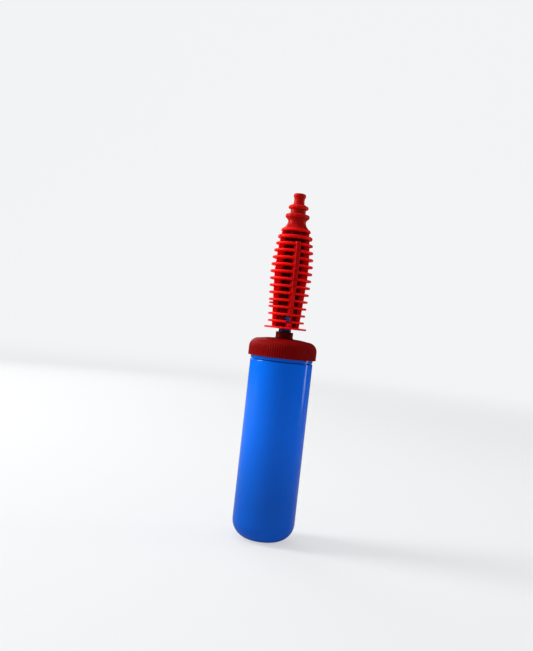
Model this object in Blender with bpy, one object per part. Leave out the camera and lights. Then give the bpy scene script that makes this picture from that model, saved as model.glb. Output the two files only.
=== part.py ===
"""Double-acting hand pump for balloons, stood on its closed end.

Origin: centre of the foot, +Z along the pump's axis towards the nozzle tip, front towards -Y.
Lengths are in millimetres and are turned into metres by MM. The rod is drawn fully pushed in.
In names, _R is a radius, _Z a height above the foot and _H a height above the nozzle's base.
Outlines are lists of (radius, height) points.
"""

import math

import bmesh
import bpy
from mathutils import Matrix

MM = 0.001
GAP = 0.3                    # clearance between neighbouring pieces
SEGMENTS = 40                # round the large turned pieces
SEGMENTS_SMALL = 28          # round the slimmer ones
HALF_FACET = 180 / SEGMENTS  # degrees
HALF_FACET_SMALL = 180 / SEGMENTS_SMALL

# ---- driving dimensions shared by several pieces ------------------------
BARREL_R = 25.3
BORE_R = 23.7
FLOOR_Z = 2.6                # inside floor of the closed end

CAP_Z0 = 147.0               # lower edge of the cap's skirt
CAP_TOP = CAP_Z0 + 15.7
RIM_Z = CAP_Z0 + 8.9         # top of the barrel wall
LEDGE_Z = RIM_Z + 1.7        # the face inside the cap that presses on the gasket
GLAND_SEAT = CAP_Z0 + 12.0   # ceiling under the cap's neck
CAGE_Z0 = GLAND_SEAT - 5.2   # gland cage: underside and top of its floor
CAGE_TOP = GLAND_SEAT - 3.8

PISTON_Z0 = 11.0             # underside of the piston
FLANGE_R = 23.2
NOZZLE_Z = CAP_Z0 + 23.9     # mid-plane of the nozzle's base flange

TUBE_R = 5.0
TUBE_STEP = NOZZLE_Z + 15.1  # where the tube steps in to its narrow end
TUBE_Z1 = NOZZLE_Z + 23.0

# L-shaped keys on the tube, front and back, that click into the nozzle
KEY_R = 12.0
KEY_ROOT_R = 3.9
KEY_Z0 = NOZZLE_Z + 4.6
KEY_Z1 = NOZZLE_Z + 9.2
KEY_BAR_Z = NOZZLE_Z + 7.0   # underside of the bar at the key's head
KEY_LEG_X = (-1.7, 0.1)
KEY_BAR_X0 = -2.9            # the bar runs from here to the leg's far side
KEY_SIDES = (("front", 0), ("back", 180))    # name, turn about Z in degrees


# ---- modelling helpers --------------------------------------------------
def clear_scene():
    for obj in list(bpy.data.objects):
        bpy.data.objects.remove(obj, do_unlink=True)


def link_object(name, data):
    obj = bpy.data.objects.new(name, data)
    bpy.context.scene.collection.objects.link(obj)
    return obj


def finish_mesh(name, mesh, material=None):
    bmesh.ops.recalc_face_normals(mesh, faces=mesh.faces)
    data = bpy.data.meshes.new(name)
    mesh.to_mesh(data)
    mesh.free()
    data.shade_smooth()
    data.set_sharp_from_angle(angle=math.radians(35))
    if material:
        data.materials.append(material)
    return link_object(name, data)


def turn_about_z(mesh, degrees):
    bmesh.ops.rotate(mesh, verts=mesh.verts, cent=(0, 0, 0),
                     matrix=Matrix.Rotation(math.radians(degrees), 3, "Z"))


def turned(name, outline, material=None, segments=SEGMENTS, start=0.0):
    """Spin an outline about Z. One that starts and ends on the axis is left open there."""
    mesh = bmesh.new()
    verts = [mesh.verts.new((r * MM, 0, z * MM)) for r, z in outline]
    closing = [verts[0]] if outline[0][0] > 1e-6 else []
    edges = [mesh.edges.new(pair) for pair in zip(verts, verts[1:] + closing)]
    bmesh.ops.spin(mesh, geom=verts + edges, cent=(0, 0, 0), axis=(0, 0, 1),
                   angle=2 * math.pi, steps=segments, use_merge=True)
    bmesh.ops.remove_doubles(mesh, verts=mesh.verts, dist=1e-7)
    if start:
        turn_about_z(mesh, start)
    return finish_mesh(name, mesh, material)


def prism(name, outline, y0, y1, turn=0.0):
    """Extrude an (x, z) outline from y0 to y1, then turn it about Z by turn degrees."""
    mesh = bmesh.new()
    face = mesh.faces.new([mesh.verts.new((x * MM, y0 * MM, z * MM)) for x, z in outline])
    extruded = bmesh.ops.extrude_face_region(mesh, geom=[face])["geom"]
    moved = [item for item in extruded if isinstance(item, bmesh.types.BMVert)]
    bmesh.ops.translate(mesh, verts=moved, vec=(0, (y1 - y0) * MM, 0))
    turn_about_z(mesh, turn)
    return finish_mesh(name, mesh)


def box(name, x_range, y_range, z_range, turn=0.0):
    mesh = bmesh.new()
    ranges = (x_range, y_range, z_range)
    bmesh.ops.create_cube(mesh, size=1.0)
    bmesh.ops.scale(mesh, verts=mesh.verts, vec=[(high - low) * MM for low, high in ranges])
    bmesh.ops.translate(mesh, verts=mesh.verts,
                        vec=[(low + high) / 2 * MM for low, high in ranges])
    turn_about_z(mesh, turn)
    return finish_mesh(name, mesh)


def pegs(name, count, pitch_r, peg_r, z0, z1, start, segments=8):
    """Upright cylinders spaced evenly on a circle of radius pitch_r, from start degrees."""
    mesh = bmesh.new()
    for k in range(count):
        angle = math.radians(start) + 2 * math.pi * k / count
        place = Matrix.Translation((pitch_r * MM * math.cos(angle),
                                    pitch_r * MM * math.sin(angle), (z0 + z1) / 2 * MM))
        bmesh.ops.create_cone(mesh, cap_ends=True, cap_tris=False, segments=segments,
                              radius1=peg_r * MM, radius2=peg_r * MM, depth=(z1 - z0) * MM,
                              matrix=place @ Matrix.Rotation(angle, 4, "Z"))
    return finish_mesh(name, mesh)


def wedges(name, count, spoke_width, outer_r, z0, z1, hub, start, arc_steps=5):
    """Wedges that leave spokes between them; hub moves each apex out from the axis."""
    mesh = bmesh.new()
    span = 2 * math.pi / count
    margin = math.asin(spoke_width / 2 / outer_r)
    apex_r = (spoke_width / 2 + hub) / math.sin(span / 2)
    for k in range(count):
        first = span * k + math.radians(start)
        middle = first + span / 2
        points = [(apex_r * math.cos(middle), apex_r * math.sin(middle))]
        for step in range(arc_steps + 1):
            angle = first + margin + (span - 2 * margin) * step / arc_steps
            points.append((outer_r * math.cos(angle), outer_r * math.sin(angle)))
        low = [mesh.verts.new((x * MM, y * MM, z0 * MM)) for x, y in points]
        high = [mesh.verts.new((x * MM, y * MM, z1 * MM)) for x, y in points]
        mesh.faces.new(low[::-1])
        mesh.faces.new(high)
        for i in range(len(points)):
            j = (i + 1) % len(points)
            mesh.faces.new((low[i], low[j], high[j], high[i]))
    return finish_mesh(name, mesh)


def boolean(obj, tool, operation):
    tool.hide_render = True
    tool.display_type = "WIRE"
    modifier = obj.modifiers.new(operation.title(), "BOOLEAN")
    modifier.operation = operation
    modifier.solver = "EXACT"
    modifier.object = tool


def cut(obj, tool):
    boolean(obj, tool, "DIFFERENCE")


def add(obj, tool):
    boolean(obj, tool, "UNION")


def arc(centre_r, centre_z, radius, start, end, steps):
    """Points on an arc from start to end, in degrees."""
    angles = [math.radians(start + (end - start) * k / steps) for k in range(steps + 1)]
    return [(centre_r + radius * math.cos(a), centre_z + radius * math.sin(a)) for a in angles]


def raised(outline, base_z):
    """An outline whose heights are measured from base_z."""
    return [(r, base_z + h) for r, h in outline]


def cord_ring(name, middle_r, middle_z, cord_r, segments, sides):
    """A rubber ring of round cord."""
    outline = arc(middle_r, middle_z, cord_r, 0, 360, sides)[:-1]
    return turned(name, outline, RUBBER, segments)


def key_block(name, grow, r0, r1, turn):
    """The key's L-shaped section, grown by a clearance, from r0 out to r1 on the -Y side."""
    left, right = KEY_LEG_X[0] - grow, KEY_LEG_X[1] + grow
    bar_left, bar_z = KEY_BAR_X0 - grow, KEY_BAR_Z - grow
    bottom, top = KEY_Z0 - grow, KEY_Z1 + grow
    outline = [(left, bottom), (right, bottom), (right, top),
               (bar_left, top), (bar_left, bar_z), (left, bar_z)]
    return prism(name, outline, -r0, -r1, turn)


# ---- materials ----------------------------------------------------------
def plastic(name, rgb, roughness):
    material = bpy.data.materials.new(name)
    material.use_nodes = True
    inputs = material.node_tree.nodes["Principled BSDF"].inputs
    inputs["Base Color"].default_value = (*rgb, 1.0)
    inputs["Roughness"].default_value = roughness
    return material


clear_scene()
BLUE = plastic("barrel_blue", rgb=(0.012, 0.16, 0.78), roughness=0.28)
BLUE_TUBE = plastic("tube_blue", rgb=(0.012, 0.12, 0.55), roughness=0.3)
RED = plastic("nozzle_red", rgb=(0.72, 0.012, 0.012), roughness=0.35)
RED_DEEP = plastic("cap_red", rgb=(0.36, 0.008, 0.008), roughness=0.32)
WHITE = plastic("natural_white", rgb=(0.82, 0.81, 0.77), roughness=0.45)
RUBBER = plastic("black_rubber", rgb=(0.02, 0.02, 0.021), roughness=0.7)
SEAL = plastic("grey_seal", rgb=(0.16, 0.16, 0.165), roughness=0.65)

# ---- barrel -------------------------------------------------------------
FINISH_R = 24.7              # the narrower neck finish that the cap snaps on
SHOULDER_Z = CAP_Z0 - 3.1    # where the barrel steps in to its finish
SNAP_Z = CAP_Z0 + 4.6        # middle of the snap bead
SNAP_R = FINISH_R + 0.5
FOOT_R = 10.8                # flat foot, inside the corner radius
CORNER_R = 14.5              # outer corner radius of the closed end
INNER_CORNER_R = CORNER_R - (BARREL_R - BORE_R)
BOSS_R0, BOSS_R1 = 8.3, 9.6  # ring on the floor, round the foot valve
BOSS_TOP = 6.4


def build_barrel():
    outline = [
        (0, 0), (FOOT_R, 0),
        *arc(FOOT_R, CORNER_R, CORNER_R, -90, 0, 7)[1:],
        (BARREL_R, SHOULDER_Z - 0.3), (FINISH_R, SHOULDER_Z),
        (FINISH_R, SNAP_Z - 1.1), (SNAP_R, SNAP_Z - 0.5),
        (SNAP_R, SNAP_Z + 0.1), (FINISH_R, SNAP_Z + 1.3),
        (FINISH_R, RIM_Z - 0.3), (FINISH_R - 0.3, RIM_Z), (BORE_R, RIM_Z),
        *arc(BORE_R - INNER_CORNER_R, FLOOR_Z + INNER_CORNER_R, INNER_CORNER_R, 0, -90, 5),
        (BOSS_R1, FLOOR_Z), (BOSS_R1, BOSS_TOP), (BOSS_R0, BOSS_TOP), (BOSS_R0, FLOOR_Z),
        (0, FLOOR_Z),
    ]
    barrel = turned("barrel", outline, BLUE)
    cut(barrel, pegs("inlet_hole_tool", count=6, pitch_r=4.0, peg_r=1.0,
                     z0=-1.0, z1=FLOOR_Z + 1, start=HALF_FACET))


# ---- foot valve: a loose rubber disc under a three-spoked cage ----------
FOOT_DISC = [(0, 2.75), (6.1, 2.75), (6.3, 2.95), (6.3, 3.6), (6.1, 3.8), (0, 3.8)]
FOOT_CAGE = [(6.9, 2.9), (8.0, 2.9), (8.0, 5.8), (7.7, 6.1), (0, 6.1), (0, 5.1), (6.9, 5.1)]


def build_foot_valve():
    turned("foot_valve_disc", FOOT_DISC, RUBBER, segments=24)
    cage = turned("foot_valve_cage", FOOT_CAGE, WHITE, segments=24)
    cut(cage, wedges("cage_window_tool", count=3, spoke_width=1.5, outer_r=6.2,
                     z0=4.0, z1=7.0, hub=0.6, start=4.0))


# ---- end cap, snapped on the finish, with the neck that guides the tube -
CAP_R = 27.5
CAP_CORNER_R = 7.4
CAP_CORNER_Z = CAP_Z0 + 6.8  # centre of the rounded shoulder
CAP_INNER_R = 25.75
NECK_R = 7.0
NECK_TOP = CAP_TOP + 5.0
NECK_BORE_R = 5.5
PLUG_R0, PLUG_R1 = 21.8, 23.1                # ring that reaches into the bore
PLUG_Z = GLAND_SEAT - 7.2
GLAND_RING_R0, GLAND_RING_R1 = 10.9, 12.3    # ring round the gland cage
GLAND_RING_Z = GLAND_SEAT - 5.6


def build_end_cap():
    outline = [
        (NECK_BORE_R, NECK_TOP - 0.3), (NECK_BORE_R + 0.3, NECK_TOP),
        (NECK_R - 0.5, NECK_TOP), (NECK_R, NECK_TOP - 0.5),
        (NECK_R, CAP_TOP + 0.7), (NECK_R + 0.8, CAP_TOP - 0.05), (13.5, CAP_TOP - 0.5),
        *arc(CAP_R - CAP_CORNER_R, CAP_CORNER_Z, CAP_CORNER_R, 90, 0, 7),
        (CAP_R, CAP_Z0 + 0.4), (CAP_R - 0.4, CAP_Z0), (CAP_INNER_R, CAP_Z0),
        (CAP_INNER_R, LEDGE_Z - 0.8), (CAP_INNER_R - 0.8, LEDGE_Z),
        (PLUG_R1, LEDGE_Z), (PLUG_R1, PLUG_Z), (PLUG_R0, PLUG_Z), (PLUG_R0, GLAND_SEAT - 0.6),
        (GLAND_RING_R1, GLAND_SEAT), (GLAND_RING_R1, GLAND_RING_Z),
        (GLAND_RING_R0, GLAND_RING_Z), (GLAND_RING_R0, GLAND_SEAT),
        (NECK_BORE_R, GLAND_SEAT),
    ]
    turned("end_cap", outline, RED_DEEP)


def build_cap_gasket():
    low, high = RIM_Z + 0.15, LEDGE_Z - 0.15
    outline = [(23.4, low), (24.8, low), (24.8, high), (23.4, high)]
    turned("cap_gasket", outline, SEAL, SEGMENTS_SMALL)


# ---- gland: a loose washer round the tube is the front chamber's inlet valve
CAGE_BORE_R = 5.6
CAGE_R0, CAGE_R1 = 9.7, 10.6                 # the cage's upright wall
WASHER = [(5.15, 0.15), (7.6, 0.15), (7.8, 0.35),    # heights above CAGE_TOP
          (7.8, 2.15), (7.6, 2.35), (5.15, 2.35)]


def build_gland():
    outline = [
        (CAGE_BORE_R, CAGE_Z0), (CAGE_R1, CAGE_Z0), (CAGE_R1, GLAND_SEAT - GAP),
        (CAGE_R0, GLAND_SEAT - GAP), (CAGE_R0, CAGE_TOP), (CAGE_BORE_R, CAGE_TOP),
    ]
    cage = turned("gland_cage", outline, WHITE, SEGMENTS_SMALL)
    cut(cage, pegs("cage_hole_tool", count=7, pitch_r=8.6, peg_r=0.8,
                   z0=CAGE_Z0 - 1, z1=CAGE_TOP + 1, start=HALF_FACET_SMALL))
    turned("gland_washer", raised(WASHER, CAGE_TOP), RUBBER, SEGMENTS_SMALL)


# ---- piston: heights in these tables are above PISTON_Z0 ----------------
DRUM_R = 20.0
PISTON_BODY = [
    (TUBE_R + GAP, 23.0), (6.6, 23.0), (7.0, 22.6), (7.0, 15.0),
    (DRUM_R - 0.6, 15.0), (DRUM_R, 14.4), (DRUM_R, 10.0),
    (FLANGE_R, 10.0), (FLANGE_R, 7.6), (DRUM_R, 7.6), (DRUM_R, 3.7),
    (18.7, 3.7), (18.7, 13.0), (7.0, 13.0), (7.0, 10.8), (7.8, 10.7), (7.8, 10.2),
    (7.0, 9.6), (7.0, 5.0), (3.6, 5.0), (3.6, 8.2), (TUBE_R + GAP, 8.2),
]
PISTON_COVER = [
    (0, 0), (20.2, 0), (22.9, 2.2), (FLANGE_R, 2.8), (FLANGE_R, 3.4),
    (18.4, 3.4), (18.4, 7.0), (17.2, 7.0), (17.2, 2.0), (0, 2.0),
]
VALVE_FLAPS = (              # name, inner radius, outer radius, underside
    ("piston_valve_upper", 7.4, 15.0, 11.85),
    ("piston_valve_lower", 0, 11.0, 2.15),
)
VALVE_T = 1.0


def build_piston_body():
    body = turned("piston_body", raised(PISTON_BODY, PISTON_Z0), WHITE)
    cut(body, pegs("upper_port_tool", count=8, pitch_r=11.5, peg_r=1.3,
                   z0=PISTON_Z0 + 12, z1=PISTON_Z0 + 16, start=HALF_FACET))
    # crossed slots through the lower edge of the hub
    length, width, height = (-9.0, 9.0), (-1.5, 1.5), (PISTON_Z0 + 4, PISTON_Z0 + 7.3)
    cut(body, box("castle_tool_x", length, width, height))
    cut(body, box("castle_tool_y", width, length, height))
    return body


def build_piston_cover():
    cover = turned("piston_cover", raised(PISTON_COVER, PISTON_Z0), WHITE)
    add(cover, pegs("guide_post_tool", count=4, pitch_r=12.3, peg_r=0.8,
                    z0=PISTON_Z0 + 1.5, z1=PISTON_Z0 + 5.5, start=45 + HALF_FACET))
    cut(cover, pegs("lower_port_tool", count=6, pitch_r=7.0, peg_r=1.3,
                    z0=PISTON_Z0 - 1, z1=PISTON_Z0 + 3, start=HALF_FACET))
    return cover


def build_piston_ring():
    return cord_ring("piston_ring", middle_r=21.8, middle_z=PISTON_Z0 + 5.5, cord_r=1.5,
                     segments=SEGMENTS, sides=8)


def build_piston_valves():
    valves = []
    for name, r0, r1, low in VALVE_FLAPS:
        outline = [(r0, low), (r1, low), (r1, low + VALVE_T), (r0, low + VALVE_T)]
        valves.append(turned(name, raised(outline, PISTON_Z0), RUBBER, SEGMENTS_SMALL))
    return valves


# ---- piston tube --------------------------------------------------------
TUBE_Z0 = PISTON_Z0 + 8.5
TUBE_BORE_R = 3.5
TUBE_END_R, TUBE_END_BORE_R = 3.9, 2.9       # the narrow end


def build_piston_tube():
    outline = [
        (TUBE_BORE_R, TUBE_Z0), (TUBE_R, TUBE_Z0), (TUBE_R, TUBE_STEP),
        (TUBE_END_R, TUBE_STEP), (TUBE_END_R, TUBE_Z1 - 0.3), (TUBE_END_R - 0.3, TUBE_Z1),
        (TUBE_END_BORE_R, TUBE_Z1), (TUBE_END_BORE_R, TUBE_STEP - 0.4),
        (TUBE_BORE_R, TUBE_STEP - 1.0),
    ]
    tube = turned("piston_tube", outline, BLUE_TUBE, SEGMENTS_SMALL)
    for side, turn in KEY_SIDES:
        add(tube, key_block(f"key_{side}_tool", 0.0, KEY_ROOT_R, KEY_R, turn))
    return tube


def build_nozzle_seal():
    return cord_ring("nozzle_seal", middle_r=4.6, middle_z=TUBE_STEP + 0.9, cord_r=0.55,
                     segments=20, sides=6)


# ---- nozzle -------------------------------------------------------------
BASE_R = 17.12
BASE_T = 1.5
FIN_PITCH = 5.69
FIN_FIRST_H = 5.2
FIN_COUNT = 12               # plain fins; the collar and the flare follow at the same pitch
FIN_ROOT_HALF, FIN_EDGE_HALF = 1.16, 0.8     # half thicknesses
COLLAR_H = FIN_FIRST_H + FIN_PITCH * FIN_COUNT
FLARE_H = FIN_FIRST_H + FIN_PITCH * (FIN_COUNT + 1)

# fin envelope: falls from the belly by DROP * (distance / SPAN) ** POWER
BELLY_H, BELLY_R = 44.8, 17.04
LOW_DROP, LOW_SPAN, LOW_POWER = 2.35, BELLY_H - FIN_FIRST_H, 1.15
HIGH_DROP, HIGH_SPAN, HIGH_POWER = 4.83, 34.1, 2.2

CORE_LOW_R, CORE_HIGH_R = 7.0, 5.2
CORE_TAPER_H, CORE_TAPER_SPAN = 24.0, 10.0

RAIL_W = 3.7                 # front and back rails
RAIL_PROUD = 0.3
RIB_T = 1.4                  # side ribs
RIB_STEP = 3.2               # how far they stop short of the fins' edge
RIB_GAIN, RIB_GAIN_H, RIB_GAIN_SPAN = 1.8, 50.0, 27.0    # they reach further above this height
TIP_H = 109.2
TIP_BORE_R = 2.6

COLLAR = [                   # heights from COLLAR_H
    (CORE_HIGH_R, -1.5), (13.5, -1.35), (14.1, -0.7), (14.1, 0.6), (13.5, 1.25),
    (CORE_HIGH_R, 1.5),
]
FLARE = [                    # heights from FLARE_H
    (CORE_HIGH_R, -1.3), (11.6, -1.2), (12.2, -0.3), (11.9, 0.7), (10.3, 1.9),
    (8.7, 3.6), (7.6, 5.6), (7.3, 7.3),
]
TIP = [                      # two grip rings and the lipped tip, heights from NOZZLE_Z
    (7.7, 87.9), (9.3, 89.2), (9.8, 90.0), (9.8, 91.3), (9.4, 92.0), (6.25, 92.9),
    (6.25, 96.5), (7.8, 96.8), (8.2, 97.4), (8.2, 98.5), (7.6, 99.1), (4.5, 100.6),
    (4.2, 104.4), (4.5, 105.6), (5.05, 106.6), (5.05, 108.0), (4.5, 108.9),
    (3.5, TIP_H), (0, TIP_H),
]


def fin_r(h):
    """Envelope of the fins: narrows slowly towards the base and quickly towards the tip."""
    if h <= BELLY_H:
        return BELLY_R - LOW_DROP * ((BELLY_H - h) / LOW_SPAN) ** LOW_POWER
    return BELLY_R - HIGH_DROP * ((h - BELLY_H) / HIGH_SPAN) ** HIGH_POWER


def core_r(h):
    """The core is wide round the tube's socket and narrower above it."""
    t = min(1.0, max(0.0, (h - CORE_TAPER_H) / CORE_TAPER_SPAN))
    return CORE_LOW_R + (CORE_HIGH_R - CORE_LOW_R) * t


def rail_r(h):
    return fin_r(h) + RAIL_PROUD


def rib_r(h):
    gain = RIB_GAIN * (max(0.0, h - RIB_GAIN_H) / RIB_GAIN_SPAN) ** 2
    return fin_r(h) - RIB_STEP + gain


def upright_plate(name, radius_at, h0, h1, steps, thickness, turn=0.0):
    """A plate through the axis whose two long sides follow radius_at(height)."""
    heights = [h0 + (h1 - h0) * k / steps for k in range(steps + 1)]
    right = [(radius_at(h), NOZZLE_Z + h) for h in heights]
    left = [(-x, z) for x, z in reversed(right)]
    return prism(name, right + left, -thickness / 2, thickness / 2, turn)


def nozzle_outline():
    outline = [(0, -BASE_T / 2), (BASE_R, -BASE_T / 2), (BASE_R, BASE_T / 2),
               (CORE_LOW_R, BASE_T / 2 + 0.2)]
    for k in range(FIN_COUNT):
        h = FIN_FIRST_H + FIN_PITCH * k
        outline += [(core_r(h), h - FIN_ROOT_HALF), (fin_r(h), h - FIN_EDGE_HALF),
                    (fin_r(h), h + FIN_EDGE_HALF), (core_r(h), h + FIN_ROOT_HALF)]
    outline += raised(COLLAR, COLLAR_H) + raised(FLARE, FLARE_H) + TIP
    return raised(outline, NOZZLE_Z)


def add_rails_and_ribs(nozzle):
    add(nozzle, upright_plate("rail_tool", rail_r, 0.3, 69.3, 7, RAIL_W, turn=90))
    add(nozzle, upright_plate("rib_tool", rib_r, 0.1, FLARE_H - 0.4, 8, RIB_T))
    # a short tab half-way between the third and fourth fins, on the left (-X) rib only
    tab_h = FIN_FIRST_H + FIN_PITCH * 2.5
    tab_r = fin_r(tab_h) - 0.45
    tab_z = NOZZLE_Z + tab_h
    add(nozzle, box("tab_tool", (-tab_r, 1.5 - tab_r + RIB_STEP), (-1.6, 1.6),
                    (tab_z - 0.75, tab_z + 0.75)))


def cut_bore(nozzle):
    """The tube's socket, the narrower socket above it and the bore to the tip."""
    socket_r, end_socket_r = TUBE_R + GAP, 4.3
    low, high = NOZZLE_Z - 5, NOZZLE_Z + TIP_H + 5
    outline = [
        (0, low), (socket_r, low), (socket_r, TUBE_STEP + 3.3),
        (end_socket_r, TUBE_STEP + 4.6), (end_socket_r, TUBE_Z1 + 1.0),
        (TIP_BORE_R, TUBE_Z1 + 2.8), (TIP_BORE_R, high), (0, high),
    ]
    cut(nozzle, turned("nozzle_bore_tool", outline, segments=24, start=3.2))


def cut_key_openings(nozzle, side, turn):
    """Clear the rail round the key, open its window and groove the rail above."""
    outside_y = -20.0
    cut(nozzle, box(f"rail_gap_{side}_tool", (-3.6, 2.2), (outside_y, -(KEY_R - 0.8)),
                    (KEY_Z0 - 0.7, KEY_Z1 + 1.0), turn))
    cut(nozzle, key_block(f"window_{side}_tool", GAP, 3.5, KEY_R + 0.5, turn))
    for edge, x in (("l", -1.75), ("r", 1.75)):
        cut(nozzle, box(f"rail_groove_{side}_{edge}_tool", (x - 0.35, x + 0.35),
                        (outside_y, -14.3), (KEY_Z1 + 1.6, NOZZLE_Z + 30.0), turn))


def build_nozzle():
    nozzle = turned("nozzle", nozzle_outline(), RED, SEGMENTS_SMALL)
    add_rails_and_ribs(nozzle)
    cut_bore(nozzle)
    for side, turn in KEY_SIDES:
        cut_key_openings(nozzle, side, turn)
    return nozzle


# ---- assembly -----------------------------------------------------------
build_barrel()
build_foot_valve()
build_end_cap()
build_cap_gasket()
build_gland()
rod_pieces = [
    build_piston_body(),
    build_piston_cover(),
    build_piston_ring(),
    *build_piston_valves(),
    build_piston_tube(),
    build_nozzle_seal(),
    build_nozzle(),
]

# the rod, with its piston and nozzle, slides and turns on the pump's own axis
rod_axis = link_object("rod_axis", None)
for piece in rod_pieces:
    piece.parent = rod_axis
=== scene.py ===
"""The looks of a double-acting balloon hand pump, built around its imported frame.

The pump stands on the floor along +Z: a blue barrel, its ribbed red end cap, and a blue piston
tube that carries a red finned nozzle. Front is -Y, left is -X. Shapes are in millimetres;
materials, lights and the camera are in metres.
"""

import math

import bmesh
import bpy
from mathutils import Matrix, Vector

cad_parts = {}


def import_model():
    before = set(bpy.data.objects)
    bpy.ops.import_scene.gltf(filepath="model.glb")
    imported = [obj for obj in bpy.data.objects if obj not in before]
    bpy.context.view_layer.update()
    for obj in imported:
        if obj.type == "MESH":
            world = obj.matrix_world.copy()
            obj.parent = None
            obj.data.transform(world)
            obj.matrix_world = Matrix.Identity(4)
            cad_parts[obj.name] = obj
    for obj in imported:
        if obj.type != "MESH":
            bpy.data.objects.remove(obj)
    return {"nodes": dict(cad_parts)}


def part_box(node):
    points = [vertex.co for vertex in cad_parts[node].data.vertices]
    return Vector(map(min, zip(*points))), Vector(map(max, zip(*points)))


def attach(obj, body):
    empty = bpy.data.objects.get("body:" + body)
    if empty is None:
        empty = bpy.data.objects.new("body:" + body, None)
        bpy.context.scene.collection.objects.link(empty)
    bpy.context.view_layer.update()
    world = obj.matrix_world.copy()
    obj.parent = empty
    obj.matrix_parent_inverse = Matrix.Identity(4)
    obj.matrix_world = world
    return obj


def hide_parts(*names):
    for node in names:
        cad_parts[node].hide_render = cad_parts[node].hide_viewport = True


MM = 0.001
CREASE = 38                 # degrees above which an edge is shaded sharp

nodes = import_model()["nodes"]
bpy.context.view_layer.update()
barrel_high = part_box("barrel")[1]
cap_low, cap_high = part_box("end_cap")
tube_low, tube_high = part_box("piston_tube")
nozzle_low, nozzle_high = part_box("nozzle")


# ---------------------------------------------------------------- outlines
def fillet(points, closed=False, steps=5):
    """Rounds each (r, z, radius) corner of an outline with an arc."""
    out, count = [], len(points)
    for i, (x, y, radius) in enumerate(points):
        if radius <= 0 or (not closed and i in (0, count - 1)):
            out.append((x, y))
            continue
        corner = Vector((x, y))
        to_last = Vector(points[i - 1][:2]) - corner
        to_next = Vector(points[(i + 1) % count][:2]) - corner
        room = min(to_last.length * 0.48, to_next.length * 0.48)
        to_last.normalize()
        to_next.normalize()
        angle = math.acos(max(-1.0, min(1.0, to_last.dot(to_next))))
        if angle > math.pi - 0.02 or angle < 0.02:
            out.append((x, y))
            continue
        trim = min(radius / math.tan(angle / 2), room)
        fitted = trim * math.tan(angle / 2)
        centre = corner + (to_last + to_next).normalized() * (fitted / math.sin(angle / 2))
        start = corner + to_last * trim - centre
        end = corner + to_next * trim - centre
        sweep = math.pi - angle
        parts = max(2, min(steps + 3, math.ceil(steps * sweep / (math.pi / 2))))
        for j in range(parts + 1):
            along = j / parts
            start_share = math.sin((1 - along) * sweep) / math.sin(sweep)
            end_share = math.sin(along * sweep) / math.sin(sweep)
            point = centre + start * start_share + end * end_share
            out.append((point.x, point.y))
    return out


def quarter(radius, steps, first=1):
    """Sine and cosine legs of a quarter turn, from its given first step to its last."""
    angles = [math.pi / 2 * k / steps for k in range(first, steps + 1)]
    return [(radius * math.sin(a), radius * math.cos(a)) for a in angles]


# ---------------------------------------------------------------- solids
def shade(mesh, angle):
    mesh.shade_smooth()
    mesh.set_sharp_from_angle(angle=math.radians(angle))


def to_object(name, bm, turn=0):
    """Makes an object of the bmesh, turned round Z by the given degrees."""
    if turn:
        spin = Matrix.Rotation(math.radians(turn), 3, "Z")
        bmesh.ops.rotate(bm, verts=bm.verts, cent=(0, 0, 0), matrix=spin)
    bmesh.ops.recalc_face_normals(bm, faces=bm.faces)
    mesh = bpy.data.meshes.new(name)
    bm.to_mesh(mesh)
    bm.free()
    shade(mesh, CREASE)
    obj = bpy.data.objects.new(name, mesh)
    bpy.context.scene.collection.objects.link(obj)
    return obj


def lathe(name, outline, segments, wave=None):
    """Turns an outline of (r, z) round Z; wave(r, z, angle) may change the radius.

    An outline that doesn't end on the axis is closed into a loop.
    """
    bm = bmesh.new()
    rings = []
    for r, z in outline:
        if r < 1e-4:
            rings.append([bm.verts.new((0, 0, z * MM))])
            continue
        ring = []
        for k in range(segments):
            a = 2 * math.pi * k / segments
            radius = (wave(r, z, a) if wave else r) * MM
            ring.append(bm.verts.new((radius * math.cos(a), radius * math.sin(a), z * MM)))
        rings.append(ring)
    pairs = list(zip(rings, rings[1:]))
    if len(rings[0]) > 1 and len(rings[-1]) > 1:
        pairs.append((rings[-1], rings[0]))
    for a, b in pairs:
        if len(a) == 1 and len(b) == 1:
            continue
        for k in range(segments):
            j = (k + 1) % segments
            if len(a) == 1:
                bm.faces.new((a[0], b[k], b[j]))
            elif len(b) == 1:
                bm.faces.new((a[k], b[0], a[j]))
            else:
                bm.faces.new((a[k], b[k], b[j], a[j]))
    return to_object(name, bm)


def prism(outline, y0, y1):
    """A bmesh slab: an (x, z) outline drawn at y0 and extruded to y1."""
    bm = bmesh.new()
    face = bm.faces.new([bm.verts.new((x * MM, y0 * MM, z * MM)) for x, z in outline])
    out = bmesh.ops.extrude_face_region(bm, geom=[face])
    moved = [g for g in out["geom"] if isinstance(g, bmesh.types.BMVert)]
    bmesh.ops.translate(bm, verts=moved, vec=(0, (y1 - y0) * MM, 0))
    return bm


def bevel(bm, edges, size):
    bmesh.ops.bevel(bm, geom=edges, offset=size * MM, segments=3, profile=0.5, affect="EDGES")


def block(name, x_span, y_span, z_span, turn=0, soft=0.0):
    """A box between the given (low, high) spans, with softened edges if asked."""
    spans = (x_span, y_span, z_span)
    bm = bmesh.new()
    verts = bmesh.ops.create_cube(bm, size=1.0)["verts"]
    bmesh.ops.scale(bm, verts=verts, vec=[(high - low) * MM for low, high in spans])
    bmesh.ops.translate(bm, verts=verts, vec=[(low + high) / 2 * MM for low, high in spans])
    if soft:
        bevel(bm, list(bm.edges), soft)
    return to_object(name, bm, turn)


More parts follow.
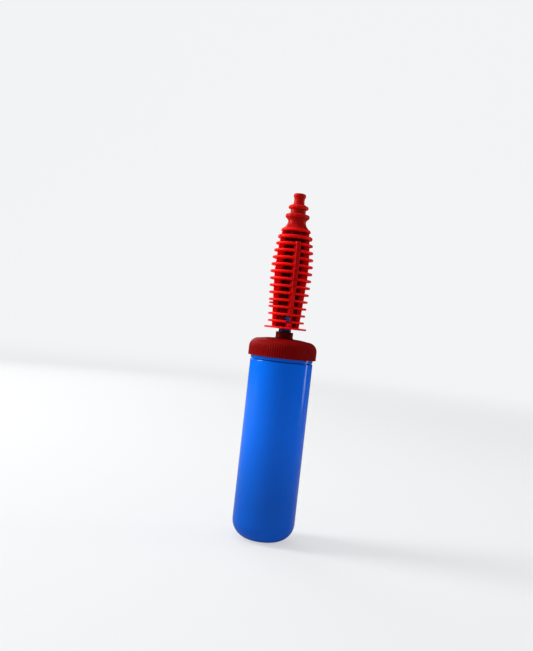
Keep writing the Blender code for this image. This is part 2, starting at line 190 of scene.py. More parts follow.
def combine(obj, tools, operation):
    """Applies one Boolean per tool, then deletes the tools."""
    for tool in tools:
        modifier = obj.modifiers.new("bool", "BOOLEAN")
        modifier.operation = operation
        modifier.solver = "EXACT"
        modifier.object = tool
    depsgraph = bpy.context.evaluated_depsgraph_get()
    mesh = bpy.data.meshes.new_from_object(obj.evaluated_get(depsgraph))
    obj.modifiers.clear()
    old = obj.data
    obj.data = mesh
    bpy.data.meshes.remove(old)
    for tool in tools:
        bpy.data.objects.remove(tool, do_unlink=True)


def complete(obj, material, rides, replaces, angle=CREASE):
    """Gives a piece its material, a clean mesh, crisp shading and its place in the frame."""
    obj.data.materials.clear()
    obj.data.materials.append(material)
    bm = bmesh.new()
    bm.from_mesh(obj.data)
    bmesh.ops.remove_doubles(bm, verts=bm.verts, dist=2e-6)
    bmesh.ops.dissolve_degenerate(bm, edges=bm.edges, dist=1e-6)
    bm.to_mesh(obj.data)
    bm.free()
    shade(obj.data, angle)
    normals = obj.modifiers.new("normals", "WEIGHTED_NORMAL")   # large faces rule the normals
    normals.keep_sharp = True
    normals.weight = 60
    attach(obj, rides)
    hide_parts(replaces)
    return obj


# ---------------------------------------------------------------- shader helpers
def put(tree, socket, value):
    """Links the socket if the value is another socket, else sets it."""
    if isinstance(value, bpy.types.NodeSocket):
        tree.links.new(value, socket)
    else:
        socket.default_value = value


def feed(tree, target, **settings):
    """Fills inputs (an underscore stands for a space) or, failing that, properties."""
    for name, value in settings.items():
        label = name.replace("_", " ")
        if label in target.inputs:
            put(tree, target.inputs[label], value)
        else:
            setattr(target, name, value)


def node(tree, kind, *values, **settings):
    """Adds a shader node; positional values go to its inputs in order."""
    made = tree.nodes.new("ShaderNode" + kind)
    feed(tree, made, **settings)
    for i, value in enumerate(values):
        put(tree, made.inputs[i], value)
    return made


def remap(tree, value, **settings):
    return node(tree, "MapRange", value, **settings).outputs[0]


def smooth_remap(tree, value, **settings):
    return remap(tree, value, interpolation_type="SMOOTHSTEP", **settings)


def arith(tree, operation, a, b):
    return node(tree, "Math", a, b, operation=operation).outputs[0]


def scaled(tree, colour, amount):
    return node(tree, "VectorMath", colour, operation="SCALE", Scale=amount).outputs[0]


def length(tree, vector):
    return node(tree, "VectorMath", vector, operation="LENGTH").outputs["Value"]


def mixed(tree, factor, a, b):
    mix = node(tree, "Mix", data_type="RGBA", Factor=factor, A=a, B=b)
    return mix.outputs["Result"]


def height(tree, place):
    return node(tree, "SeparateXYZ", place).outputs["Z"]


def new_material(name):
    """A material with its node tree and its Principled shader."""
    material = bpy.data.materials.new(name)
    material.use_nodes = True
    return material, material.node_tree, material.node_tree.nodes["Principled BSDF"]


# ---------------------------------------------------------------- plastic
def thin_glow(tree, place, body, colour, depth, level, share):
    """A brighter colour where the wall is thinner than depth, as light comes through it.

    Only a share of it shows above the height level.
    """
    wall = node(tree, "AmbientOcclusion", samples=8, inside=True, Distance=depth)
    slim = smooth_remap(tree, wall.outputs["AO"], From_Min=0.92, From_Max=0.35)
    upper = remap(tree, height(tree, place), From_Min=level, From_Max=level + 0.001,
                  To_Min=1.0, To_Max=share)
    return mixed(tree, arith(tree, "MULTIPLY", slim, upper), body, (*colour, 1))


def worn_edges(tree, tint, base, wear):
    """A paler colour on the convex edges."""
    geometry = node(tree, "NewGeometry")
    edge = remap(tree, geometry.outputs["Pointiness"], From_Min=0.53, From_Max=0.62, To_Max=wear)
    pale = tuple(min(1.0, c * 0.8 + 0.16) for c in base)
    return mixed(tree, edge, tint, (*pale, 1))


def painted_recess_shade(tree, tint, loss, reach):
    """Painted shade: darkens recesses no wider than reach, where little light gets in."""
    open_sky = node(tree, "AmbientOcclusion", samples=8, Distance=reach)
    hollow = smooth_remap(tree, open_sky.outputs["AO"], From_Min=0.12, From_Max=0.75,
                          To_Min=1 - loss)
    return scaled(tree, tint, hollow)


def painted_core_shade(tree, place, inner, outer, low, high, share):
    """Falls to share from the outer radius to the inner one, between two heights.

    It paints the shade of the deep middle between the fins, which little light reaches.
    """
    flat = node(tree, "VectorMath", place, (1, 1, 0), operation="MULTIPLY").outputs[0]
    outside = smooth_remap(tree, length(tree, flat), From_Min=inner, From_Max=outer)
    z = height(tree, place)
    above = remap(tree, z, From_Min=high, From_Max=high + 0.0015)
    below = remap(tree, z, From_Min=low, From_Max=low - 0.0005)
    keep = arith(tree, "MAXIMUM", arith(tree, "MAXIMUM", outside, above), below)
    return remap(tree, keep, To_Min=share)


def painted_foot_shade(tree, place, tint, low, high, share):
    """Painted shade: deepens the colour towards the height low, where less light falls."""
    level = smooth_remap(tree, height(tree, place), From_Min=low, From_Max=high, To_Min=share)
    return scaled(tree, tint, level)


def uneven_gloss(tree, place, roughness, streak):
    """Roughness with broad handling smears and fine lengthwise rubbing marks."""
    smear = node(tree, "TexNoise", place, Scale=55.0, Detail=4.0, Roughness=0.6)
    stretch = node(tree, "Mapping", place, Scale=(1400.0, 1400.0, 26.0))
    marks = node(tree, "TexNoise", stretch.outputs[0], Scale=1.0, Detail=2.0, Roughness=0.5)
    rubbed = remap(tree, marks.outputs["Fac"], From_Min=0.6, From_Max=0.8, To_Max=0.12 + streak)
    broad = remap(tree, smear.outputs["Fac"], From_Min=0.3, From_Max=0.7,
                  To_Min=roughness * 0.82, To_Max=roughness * 1.25)
    return arith(tree, "ADD", broad, rubbed)


def relief(tree, place, grain):
    """The normal of an orange peel with a very fine grain over it."""
    peel = node(tree, "TexNoise", place, Scale=260.0, Detail=2.0, Roughness=0.5)
    fine = node(tree, "TexNoise", place, Scale=2600.0, Detail=2.0, Roughness=0.6)
    coarse = node(tree, "Bump", Strength=0.5, Distance=grain * 2.2, Height=peel.outputs["Fac"])
    both = node(tree, "Bump", Strength=0.35, Distance=grain * 0.5, Height=fine.outputs["Fac"],
                Normal=coarse.outputs[0])
    return both.outputs[0]


def plastic(name, base, roughness, grain=0.00004, mottle=0.05, wear=0.05, specular=0.5,
            streak=0.0, coat=0.0, scatter=None, thin=None, recess=None, core=None, foot=None):
    """Moulded plastic with slight colour drift, uneven gloss, orange peel and worn edges.

    thin, recess, core and foot hold the arguments of the painted glow and the painted shades
    above, scatter those of the subsurface light.
    """
    material, tree, shader = new_material(name)
    place = node(tree, "TexCoord").outputs["Object"]

    drift = node(tree, "TexNoise", place, Scale=22.0, Detail=3.0, Roughness=0.55)
    patches = remap(tree, drift.outputs["Fac"], To_Min=1 - mottle, To_Max=1 + mottle)
    tint = node(tree, "RGB").outputs[0]
    tint.default_value = (*base, 1)
    if thin:
        tint = thin_glow(tree, place, tint, **thin)
    tint = worn_edges(tree, scaled(tree, tint, patches), base, wear)
    # painted shade in narrow recesses
    if recess:
        tint = painted_recess_shade(tree, tint, **recess)
    feed(tree, shader, IOR=1.49, Specular_IOR_Level=specular, Coat_Weight=coat,
         Coat_Roughness=0.09)
    # painted shade between the fins, dimming both the colour and the reflections there
    if core:
        amount = painted_core_shade(tree, place, **core)
        tint = scaled(tree, tint, amount)
        feed(tree, shader, Specular_IOR_Level=arith(tree, "MULTIPLY", specular, amount))
    # painted shade, darker towards the foot
    if foot:
        tint = painted_foot_shade(tree, place, tint, **foot)
    feed(tree, shader, Base_Color=tint, Roughness=uneven_gloss(tree, place, roughness, streak),
         Normal=relief(tree, place, grain))
    if scatter:
        feed(tree, shader, Subsurface_Weight=scatter["weight"],
             Subsurface_Radius=scatter["radius"], Subsurface_Scale=scatter["scale"])
    return material


def rubber(name, base, roughness=0.72):
    return plastic(name, base, roughness, grain=0.00006, mottle=0.12, wear=0.12, specular=0.3)


# Painted shade in the barrel's groove, and painted shade darkening the barrel towards its foot.
BARREL_BLUE = plastic(
    "mat_barrel_blue", base=(0.0012, 0.146, 0.88), roughness=0.12, grain=0.000012,
    streak=0.05, specular=0.16, coat=0.10, wear=0.03,
    recess=dict(loss=0.9, reach=0.0018),
    foot=dict(low=0.022, high=0.095, share=0.70))
# Painted shade where the tube runs into the cap and the nozzle.
TUBE_BLUE = plastic(
    "mat_tube_blue", base=(0.003, 0.10, 0.42), roughness=0.3, grain=0.00003, streak=0.1,
    specular=0.15, recess=dict(loss=0.85, reach=0.02))
# Painted shade in the deep middle between the fins, and a painted glow where the walls are thin.
NOZZLE_RED = plastic(
    "mat_nozzle_red", base=(0.385, 0.004, 0.0045), roughness=0.3, grain=0.00002,
    mottle=0.04, specular=0.045, wear=0.02,
    scatter=dict(weight=0.3, radius=(1.0, 0.03, 0.02), scale=0.0012),
    core=dict(inner=0.0071, outer=0.0091, low=nozzle_low.z + 0.0016,
              high=nozzle_low.z + 0.0770, share=0.16),
    thin=dict(colour=(0.98, 0.006, 0.006), depth=0.0028, level=nozzle_low.z + 0.1000,
              share=0.25))
# Painted shade in the cap's hollows, as round the neck under the nozzle's flange.
CAP_RED = plastic(
    "mat_cap_red", base=(0.205, 0.0022, 0.0025), roughness=0.42, grain=0.00002,
    specular=0.02, wear=0.02, recess=dict(loss=0.9, reach=0.014))
WHITE = plastic(
    "mat_natural_white", base=(0.80, 0.78, 0.72), roughness=0.42,
    scatter=dict(weight=0.35, radius=(1.0, 0.9, 0.7), scale=0.0015))
BLACK_RUBBER = rubber("mat_black_rubber", base=(0.022, 0.022, 0.023))
GREY_SEAL = rubber("mat_grey_seal", base=(0.11, 0.11, 0.115), roughness=0.6)

# ---------------------------------------------------------------- barrel
BARREL_R = barrel_high.x / MM
RIM = barrel_high.z / MM
CAP_BASE = cap_low.z / MM           # lower edge of the cap
FLOOR = 2.6                         # top of the barrel's floor
BORE_R, LIP_R = 23.7, 24.7          # inside of the barrel, outside of its upper lip
SHOULDER = CAP_BASE - 3.1           # where the outer wall steps in under the cap
SHOULDER_FOOT = SHOULDER - 0.9
GROOVE_R, GROOVE_TOP, LAND_R = 24.1, SHOULDER + 0.8, 25.1
BEAD = CAP_BASE + 4.6               # a low bead round the lip
BEAD_R = LIP_R + 0.5
CORNER = 14.5                       # rounding of the foot, outside and inside
BORE_CORNER = CORNER - (BARREL_R - BORE_R)
RING_INNER, RING_OUTER, RING_TOP = 8.3, 9.6, 6.4    # upright ring on the floor
INLETS, INLET_R, INLET_CIRCLE = 6, 1.0, 4.0
INLET_START = math.pi / 40          # in line with the frame's own inlet holes


def barrel_outline():
    """(r, z): out along the underside, up the outer wall, down the bore and in along the floor."""
    foot_r, bore_foot_r = BARREL_R - CORNER, BORE_R - BORE_CORNER
    points = fillet([
        (0.0, 0.35, 0), (0.9, 0.35, 0.15), (1.2, 0.0, 0.15), (foot_r, 0.0, 0.0)], steps=4)
    points += [(foot_r + s, CORNER - c) for s, c in quarter(CORNER, 28)]
    points += [(BARREL_R, CORNER + (SHOULDER_FOOT - CORNER) * k / 12) for k in range(1, 12)]
    points += fillet([
        (BARREL_R, SHOULDER_FOOT, 0), (BARREL_R, SHOULDER, 0.45),
        (GROOVE_R, SHOULDER, 0.1), (GROOVE_R, GROOVE_TOP, 0.1), (LAND_R, GROOVE_TOP, 0.2),
        (LAND_R, CAP_BASE + 0.6, 0.3), (LIP_R, CAP_BASE + 1.2, 0.3),
        (LIP_R, BEAD - 1.1, 0.4), (BEAD_R, BEAD - 0.5, 0.25),
        (BEAD_R, BEAD + 0.1, 0.25), (LIP_R, BEAD + 1.3, 0.4),
        (LIP_R, RIM, 0.3), (BORE_R, RIM, 0.3), (BORE_R, RIM - 3, 0)])
    points += [(bore_foot_r + c, FLOOR + BORE_CORNER - s)
               for s, c in quarter(BORE_CORNER, 14, first=0)]
    points += fillet([
        (bore_foot_r, FLOOR, 0), (RING_OUTER, FLOOR, 0.2), (RING_OUTER, RING_TOP, 0.25),
        (RING_INNER, RING_TOP, 0.25), (RING_INNER, FLOOR, 0.2), (0.0, FLOOR, 0)])[1:]
    return points


def build_barrel():
    barrel = lathe("barrel_shell", barrel_outline(), 160)
    pins = []
    for k in range(INLETS):
        a = INLET_START + math.pi / 3 * k
        outline = [(0, -1.0), (INLET_R, -1.0), (INLET_R, FLOOR + 1.0), (0, FLOOR + 1.0)]
        pin = lathe(f"inlet_tool_{k}", outline, 28)
        ring = INLET_CIRCLE * MM
        pin.data.transform(Matrix.Translation((ring * math.cos(a), ring * math.sin(a), 0)))
        pins.append(pin)
    combine(barrel, pins, "DIFFERENCE")
    return complete(barrel, BARREL_BLUE, rides="barrel", replaces="barrel")


barrel = build_barrel()

# ---------------------------------------------------------------- end cap
CAP_R = cap_high.x / MM
NECK_TOP = cap_high.z / MM
NECK_R, NECK_BORE = 7.0, 5.5
CAP_TOP = CAP_BASE + 15.7
SEAT = CAP_BASE + 12.0              # underside of the cap's top
LEDGE = RIM + 1.7                   # underside of the step over the barrel's rim
SKIRT_TOP = CAP_BASE + 6.8          # top of the straight skirt
SKIRT_FOOT = CAP_BASE + 1.0
CAP_ROUND = 7.4                     # rounded shoulder above the skirt
RIBS, RIB_DEPTH = 90, 0.36


def cap_outline():
    """(r, z): up the neck, over the top, down the skirt and back along the underside."""
    round_r = CAP_R - CAP_ROUND
    points = fillet([
        (NECK_BORE, NECK_TOP - 2, 0), (NECK_BORE, NECK_TOP, 0.45), (NECK_R, NECK_TOP, 0.5),
        (NECK_R, CAP_TOP - 0.1, 0.9), (13.5, CAP_TOP - 0.5, 16.0),
        (round_r, SKIRT_TOP + CAP_ROUND, 0)], steps=6)
    points += [(round_r + s, SKIRT_TOP + c) for s, c in quarter(CAP_ROUND, 16)]
    points += [(CAP_R, SKIRT_TOP - (SKIRT_TOP - SKIRT_FOOT) * k / 8) for k in range(1, 8)]
    points += fillet([
        (CAP_R, SKIRT_FOOT, 0), (CAP_R, CAP_BASE, 0.4), (25.75, CAP_BASE, 0.3),
        (25.75, LEDGE - 0.8, 0.3), (24.95, LEDGE, 0.3), (23.1, LEDGE, 0.2),
        (23.1, SEAT - 7.2, 0.3), (21.8, SEAT - 7.2, 0.3), (21.8, SEAT - 0.6, 0.4),
        (12.3, SEAT, 0.3), (12.3, SEAT - 5.6, 0.3), (10.9, SEAT - 5.6, 0.3),
        (10.9, SEAT, 0.2), (NECK_BORE, SEAT, 0.2), (NECK_BORE, SEAT + 2, 0)], steps=3)
    return points


def rib_wave(r, z, a):
    """Fine upright ribs on the skirt that die out over the shoulder and at the lower edge."""
    if r < 22.5 or (r < 26.3 and z < CAP_BASE + 6.0):
        return r
    up = max(0.0, min(1.0, (SKIRT_TOP + 5.6 - z) / 3.6))
    low = max(0.0, min(1.0, (z - CAP_BASE - 0.25) / 0.5))
    crest = abs(math.cos(RIBS / 2 * a)) ** 0.8
    return r - RIB_DEPTH * (1 - crest) * (up * up * (3 - 2 * up)) * low


cap = complete(lathe("end_cap_shell", cap_outline(), RIBS * 8, wave=rib_wave), CAP_RED,
               rides="barrel", replaces="end_cap", angle=50)

# ---------------------------------------------------------------- piston tube with its two keys
FLANGE_HALF = 0.75                              # half the thickness of the nozzle's base flange
BASE = nozzle_low.z / MM + FLANGE_HALF          # mid-plane of that flange
TUBE_FOOT, TUBE_TOP = tube_low.z / MM, tube_high.z / MM
TUBE_STEP = BASE + 15.1                         # the tube is slimmer above this
TUBE_LOW_R, TUBE_LOW_BORE = 5.0, 3.5
TUBE_TOP_R, TUBE_TOP_BORE = 3.9, 2.9
KEY_REACH = tube_high.y / MM
# L-shaped face of a key: a leg below and a wider head above, (x, height above BASE)
KEY_FOOT, KEY_TOP, HEAD_FOOT = 4.6, 9.2, 7.0
LEG_LEFT, KEY_RIGHT, HEAD_LEFT = -1.7, 0.1, -2.9


def key_shape(name, grow, r0, r1, turn, soft=0.0):
    """A key from radius r0 out to r1, grown all round; it faces the front before its turn."""
    left, right, head = LEG_LEFT - grow, KEY_RIGHT + grow, HEAD_LEFT - grow
    foot, top, step = BASE + KEY_FOOT - grow, BASE + KEY_TOP + grow, BASE + HEAD_FOOT - grow
    points = [(left, foot), (right, foot), (right, top), (head, top), (head, step), (left, step)]
    if soft:
        points = fillet([(x, z, 0.45) for x, z in points], closed=True, steps=4)
    bm = prism(points, -r0, -r1)
    if soft:
        rim = [e for e in bm.edges if all(abs(v.co.y + r1 * MM) < 1e-7 for v in e.verts)]
        bevel(bm, rim, soft)
    return to_object(name, bm, turn)


def build_tube():
    outline = fillet([
        (TUBE_LOW_BORE, TUBE_FOOT, 0.3), (TUBE_LOW_R, TUBE_FOOT, 0.4),
        (TUBE_LOW_R, TUBE_STEP, 0.4), (TUBE_TOP_R, TUBE_STEP, 0.2),
        (TUBE_TOP_R, TUBE_TOP, 0.35), (TUBE_TOP_BORE, TUBE_TOP, 0.25),
        (TUBE_TOP_BORE, TUBE_STEP - 0.4, 0.3), (TUBE_LOW_BORE, TUBE_STEP - 1.0, 0.3)],
        closed=True)
    tube = lathe("tube_shaft", outline, 96)
    keys = [key_shape(name, grow=0, r0=3.9, r1=KEY_REACH, turn=turn, soft=0.3)
            for name, turn in (("key_a", 0), ("key_b", 180))]
    combine(tube, keys, "UNION")
    return complete(tube, TUBE_BLUE, rides="rod", replaces="piston_tube")


tube = build_tube()

# ---------------------------------------------------------------- nozzle
# Heights h are above BASE.
FINS, FIRST_FIN, PITCH = 12, 5.2, 5.69
FIN_ROOT_HALF, FIN_RIM_HALF = 1.16, 0.8         # half thicknesses of a fin
BELLY_H, BELLY_R = 44.8, 17.04                  # the widest place of the spindle
CORE_LOW, CORE_HIGH = 7.0, 5.2                  # core radius below and above its taper
TAPER_LOW, TAPER_HIGH = 24.0, 34.0
BLADE_LOW, BLADE_HIGH = 6.1, 4.1                # inner edge of the blades, inside the core
COLLAR = FIRST_FIN + PITCH * FINS
FLARE = COLLAR + PITCH
TIP = nozzle_high.z / MM - BASE                 # the flat end of the tip
BORE_FOOT, BORE_MID, BORE_TIP = 5.3, 4.3, 2.6   # radii of the stepped bore
RAIL_THICK, RAIL_FOOT, RAIL_TOP = 3.7, 0.2, 69.3
RIB_THICK, RIB_FOOT, RIB_TOP = 1.4, 0.1, FLARE - 0.4
TAB_H = FIRST_FIN + PITCH * 2.5                 # half-way between two fins


def spindle(h):
    """Radius of the fins' rims."""
    if h <= BELLY_H:
        return BELLY_R - 2.35 * ((BELLY_H - h) / (BELLY_H - FIRST_FIN)) ** 1.15
    return BELLY_R - 4.83 * ((h - BELLY_H) / 34.1) ** 2.2


def core(h):
    t = min(1.0, max(0.0, (h - TAPER_LOW) / (TAPER_HIGH - TAPER_LOW)))
    return CORE_LOW + (CORE_HIGH - CORE_LOW) * t * t * (3 - 2 * t)


def rail(h):
    return spindle(h) + 0.3


def rib(h):
    return spindle(h) - 3.2 + 1.8 * (max(0.0, h - 50.0) / 27.0) ** 2


def nozzle_outline():
    """(r, z) of the closed loop: flange, fins, collar, flare, tip, and back down the bore."""
    loop = [(BORE_FOOT, -FLANGE_HALF, 0.3), (17.12, -FLANGE_HALF, 0.55),
            (17.12, FLANGE_HALF, 0.55), (7.0, 0.95, 0.4)]
    for k in range(FINS):
        h = FIRST_FIN + PITCH * k
        loop += [(core(h), h - FIN_ROOT_HALF, 0.4), (spindle(h), h - FIN_RIM_HALF, 0.55),
                 (spindle(h), h + FIN_RIM_HALF, 0.55), (core(h), h + FIN_ROOT_HALF, 0.4)]
    loop += [   # r, h, rounding
        (CORE_HIGH, COLLAR - 1.5, 0.5), (13.6, COLLAR - 1.35, 0.6), (14.1, COLLAR - 0.6, 0.8),
        (14.1, COLLAR + 0.5, 0.8), (13.5, COLLAR + 1.25, 0.6), (CORE_HIGH, COLLAR + 1.5, 0.5),
        (CORE_HIGH, FLARE - 1.3, 0.4), (11.8, FLARE - 1.2, 0.5), (12.2, FLARE - 0.2, 0.6),
        (11.6, FLARE + 0.8, 0.8), (9.9, FLARE + 1.95, 2.5), (8.4, FLARE + 3.7, 4.0),
        (7.4, FLARE + 5.8, 4.0), (7.25, FLARE + 7.5, 3.0), (7.7, 87.9, 2.0),
        (9.2, 89.2, 1.2), (9.8, 89.9, 0.5), (9.8, 91.4, 0.5), (9.3, 92.1, 0.6),
        (6.25, 92.9, 0.45), (6.25, 96.5, 0.4), (7.8, 96.8, 0.4), (8.2, 97.4, 0.5),
        (8.2, 98.5, 0.6), (7.5, 99.15, 0.7), (4.55, 100.6, 0.9), (4.25, 103.0, 6.0),
        (4.3, 104.8, 2.0), (4.6, 105.8, 1.2), (5.05, 106.7, 0.9), (5.05, 108.1, 0.9),
        (4.6, TIP - 0.3, 0.7), (3.9, TIP, 0.6), (BORE_TIP, TIP, 0.4),
        (BORE_TIP, 25.8, 0.5), (BORE_MID, 24.0, 0.5), (BORE_MID, 19.7, 0.3),
        (BORE_FOOT, 18.4, 0.3)]
    return [(r, z + BASE) for r, z in fillet(loop, closed=True, steps=4)]


def run(radius_at, low, high, steps=24):
    """(r, z) points along radius_at between two heights."""
    heights = [low + (high - low) * k / steps for k in range(steps + 1)]
    return [(radius_at(h), BASE + h) for h in heights]


def blade(name, outer, foot, top, thick, soft, turn):
    """An upright slab from inside the core out to the outer points, whose edges are softened."""
    inner = [(BLADE_LOW, foot), (BLADE_LOW, TAPER_LOW), (BLADE_HIGH, TAPER_HIGH),
             (BLADE_HIGH, top)]
    bm = prism(outer + [(r, BASE + h) for r, h in reversed(inner)], -thick / 2, thick / 2)
    on_outer = {(round(x, 4), round(z, 4)) for x, z in outer}
    edges = []
    for edge in bm.edges:
        a, b = [(round(v.co.x / MM, 4), round(v.co.z / MM, 4)) for v in edge.verts]
        lengthwise = abs(edge.verts[0].co.y - edge.verts[1].co.y) < 1e-7
        if a in on_outer and b in on_outer and lengthwise:
            edges.append(edge)
    bevel(bm, edges, soft)
    return to_object(name, bm, turn)


def nozzle_additions():
    """Rails at the front and back, ribs at the right and left, a short tab on the left rib."""
    rail_edge = run(rail, RAIL_FOOT, 68.7) + [(rail(RAIL_TOP) - 0.5, BASE + RAIL_TOP)]
    rib_edge = run(rib, RIB_FOOT, RIB_TOP)
    parts = [blade(f"rail_{turn}", rail_edge, RAIL_FOOT, RAIL_TOP, thick=RAIL_THICK, soft=0.4,
                   turn=turn) for turn in (-90, 90)]
    parts += [blade(f"rib_{turn}", rib_edge, RIB_FOOT, RIB_TOP, thick=RIB_THICK, soft=0.3,
                    turn=turn) for turn in (0, 180)]
    tab_r, tab_z = spindle(TAB_H) - 0.45, BASE + TAB_H
    parts.append(block("tab", (-tab_r, 4.7 - tab_r), (-1.6, 1.6), (tab_z - 0.75, tab_z + 0.75),
                       soft=0.3))
    return parts


def nozzle_cuts():
    """At the front and the back: a gap in the rail, a window for the key and two grooves."""
    cuts = []
    for turn in (0, 180):
        cuts.append(block(f"gap_{turn}", (-3.6, 2.2), (-20.0, -(KEY_REACH - 0.8)),
                          (BASE + 3.9, BASE + 10.2), turn))
        cuts.append(key_shape(f"window_{turn}", grow=0.3, r0=3.5, r1=KEY_REACH + 0.5, turn=turn))
        for x in (-1.75, 1.75):
            cuts.append(block(f"groove_{turn}_{x}", (x - 0.35, x + 0.35), (-20.0, -14.3),
                              (BASE + 10.8, BASE + 30.0), turn))
    return cuts


def build_nozzle():
    nozzle = lathe("nozzle_body", nozzle_outline(), 112)
    combine(nozzle, nozzle_additions(), "UNION")
    combine(nozzle, nozzle_cuts(), "DIFFERENCE")
    return complete(nozzle, NOZZLE_RED, rides="rod", replaces="nozzle")


nozzle = build_nozzle()

# ---------------------------------------------------------------- inner pieces
# They keep their frame shapes and get their own finish.
INNER_FINISH = {
    "cap_gasket": GREY_SEAL, "gland_cage": WHITE, "gland_washer": BLACK_RUBBER,
    "foot_valve_disc": BLACK_RUBBER, "foot_valve_cage": WHITE, "piston_body": WHITE,
    "piston_cover": WHITE, "piston_ring": BLACK_RUBBER, "piston_valve_upper": BLACK_RUBBER,
    "piston_valve_lower": BLACK_RUBBER, "nozzle_seal": BLACK_RUBBER}
for name, material in INNER_FINISH.items():
    piece = nodes[name]
    for slot in piece.material_slots:
        slot.material = material
    if not piece.material_slots:
        piece.data.materials.append(material)

# ---------------------------------------------------------------- backdrop
SWEEP_HALF, SWEEP_NEAR, SWEEP_TOP = 7.0, -6.0, 6.0
CURVE_START, CURVE_R = 2.2, 1.2
FADE = dict(From_Min=0.5, From_Max=2.6)     # distances over which the paper's tone changes


def sweep_material():
    """White paper, also lit from behind so that it stays an even white."""
    material, tree, shader = new_material("mat_sweep")
    noise = node(tree, "TexNoise", Scale=3.0, Detail=2.0)
    patches = remap(tree, noise.outputs["Fac"], To_Min=0.98, To_Max=1.02)
    away = length(tree, node(tree, "NewGeometry").outputs["Position"])
    tone = smooth_remap(tree, away, To_Min=0.30, To_Max=0.08, **FADE)
    grey = arith(tree, "MULTIPLY", patches, tone)
    paper = node(tree, "CombineColor", grey, grey, grey).outputs[0]
    even = smooth_remap(tree, away, To_Min=0.55, To_Max=0.87, **FADE)
    path = node(tree, "LightPath")
    # the camera sees the even glow; soft light gets less of it, reflections none
    spread = remap(tree, path.outputs["Is Glossy Ray"], To_Min=0.30, To_Max=0.0)
    glow = remap(tree, path.outputs["Is Camera Ray"], To_Min=spread, To_Max=even)
    feed(tree, shader, Base_Color=paper, Roughness=0.9, Specular_IOR_Level=0.1,
         Emission_Color=(0.985, 0.99, 1.0, 1), Emission_Strength=glow)
    return material


def build_backdrop():
    """A seamless sweep: floor, a wide curve and a wall behind the pump."""
    profile = [(SWEEP_NEAR, 0.0), (CURVE_START, 0.0)]                       # y, z
    profile += [(CURVE_START + s, CURVE_R - c) for s, c in quarter(CURVE_R, 24)]
    profile.append((CURVE_START + CURVE_R, SWEEP_TOP))
    bm = bmesh.new()
    left, right = [[bm.verts.new((x, y, z)) for y, z in profile]
                   for x in (-SWEEP_HALF, SWEEP_HALF)]
    for k in range(len(profile) - 1):
        bm.faces.new((left[k], right[k], right[k + 1], left[k + 1]))
    sweep = to_object("studio_sweep", bm)
    sweep.data.materials.append(sweep_material())
    return sweep


sweep = build_backdrop()


# ---------------------------------------------------------------- lights
def softbox(name, place, aim, size, power, colour=(1, 1, 1)):
    """A rectangular area light at place, facing aim; size is (width, height)."""
    data = bpy.data.lights.new(name, "AREA")
    data.shape = "RECTANGLE"
    data.size, data.size_y = size
    data.energy = power
    data.color = colour
    light = bpy.data.objects.new(name, data)
    bpy.context.scene.collection.objects.link(light)
    light.location = place
    light.rotation_euler = (Vector(aim) - Vector(place)).to_track_quat("-Z", "Y").to_euler()
    return light


def group(name, members):
    collection = bpy.data.collections.new(name)
    for member in members:
        collection.objects.link(member)
    return collection


def build_flag():
    """An upright card between the key and the pump; it casts shade but is never seen."""
    x, y, half_width, top = -0.438, 0.102, 0.30, 0.21
    along_x, along_y = 0.226, 0.974         # direction of its width
    corners = ((-half_width, 0.0), (half_width, 0.0), (half_width, top), (-half_width, top))
    bm = bmesh.new()
    bm.faces.new([bm.verts.new((x + along_x * s, y + along_y * s, z)) for s, z in corners])
    flag = to_object("flag", bm)
    flag.visible_camera = False
    flag.visible_diffuse = False
    flag.visible_glossy = False
    flag.visible_transmission = False


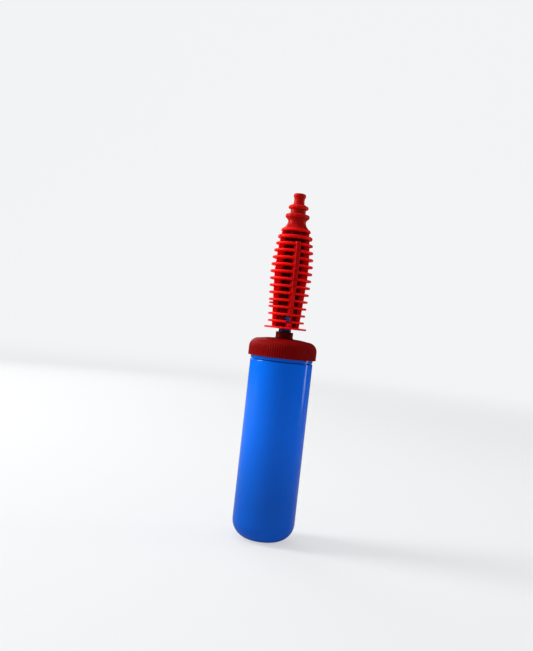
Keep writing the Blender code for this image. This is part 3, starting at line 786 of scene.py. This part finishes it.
# The key shines on the pump past the flag, so its light fades softly towards the barrel's foot.
# Its twin lights the sweep without the flag, so the floor stays an even white.
KEY_PLACE = dict(place=(-1.42, 0.33, 0.75), aim=(0, 0, 0.15), size=(0.6, 1.3))
pump = group("pump", [barrel, cap, tube, nozzle] + [nodes[name] for name in INNER_FINISH])
key = softbox("key", power=37.0, colour=(1.0, 1.0, 0.86), **KEY_PLACE)
key.light_linking.receiver_collection = pump
key_floor = softbox("key_floor", power=33.0, **KEY_PLACE)
key_floor.light_linking.receiver_collection = group("sweep", [sweep])
key_floor.light_linking.blocker_collection = pump
build_flag()
softbox("strip_right", place=(1.09, 0.09, 0.30), aim=(0, 0, 0.13), size=(0.12, 0.9), power=1.6)
softbox("back", place=(-0.35, 1.3, 0.7), aim=(0, 0, 0.2), size=(0.9, 0.9), power=5.0)
softbox("top", place=(-0.2, 0.2, 1.6), aim=(0, 0, 0.1), size=(0.9, 0.9), power=4.0)


# ---------------------------------------------------------------- world
def build_world():
    """A room brighter at the back left, and dim in reflections so the colours stay deep."""
    world = bpy.data.worlds.new("studio_world")
    bpy.context.scene.world = world
    world.use_nodes = True
    tree = world.node_tree
    ray = node(tree, "LightPath")
    sky = node(tree, "TexCoord").outputs["Generated"]
    side = node(tree, "VectorMath", sky, (-0.80, 0.60, 0.0), operation="DOT_PRODUCT")
    soft = smooth_remap(tree, side.outputs["Value"], From_Min=-1.0, To_Min=0.40, To_Max=0.58)
    room = remap(tree, ray.outputs["Is Glossy Ray"], To_Min=soft, To_Max=0.08)
    seen = remap(tree, ray.outputs["Is Camera Ray"], To_Min=room, To_Max=0.86)
    feed(tree, tree.nodes["Background"], Color=(0.95, 0.97, 1.0, 1), Strength=seen)


build_world()

# ---------------------------------------------------------------- camera
# It looks level from the front, a little to the left, and is rolled so the pump leans right.
LOOK, ROLL = math.radians(11.1), math.radians(6.4)
DISTANCE, LEFT_SHIFT, CAMERA_HEIGHT = 0.600, 0.0152, 0.1713
LENS, SENSOR = 40.97696, 36.0


def build_camera():
    right = Vector((math.cos(LOOK), -math.sin(LOOK), 0))
    up = Vector((0, 0, 1))
    back = Vector((-math.sin(LOOK), -math.cos(LOOK), 0))    # from the pump to the camera
    data = bpy.data.cameras.new("camera")
    data.lens = LENS
    data.sensor_width = SENSOR
    camera = bpy.data.objects.new("camera", data)
    bpy.context.scene.collection.objects.link(camera)
    place = back * DISTANCE - right * LEFT_SHIFT + up * CAMERA_HEIGHT
    facing = Matrix((right, up, back)).transposed().to_4x4()
    camera.matrix_world = Matrix.Translation(place) @ facing @ Matrix.Rotation(ROLL, 4, "Z")
    bpy.context.scene.camera = camera


build_camera()
bpy.context.scene.view_settings.view_transform = "Standard"
bpy.context.scene.view_settings.look = "None"
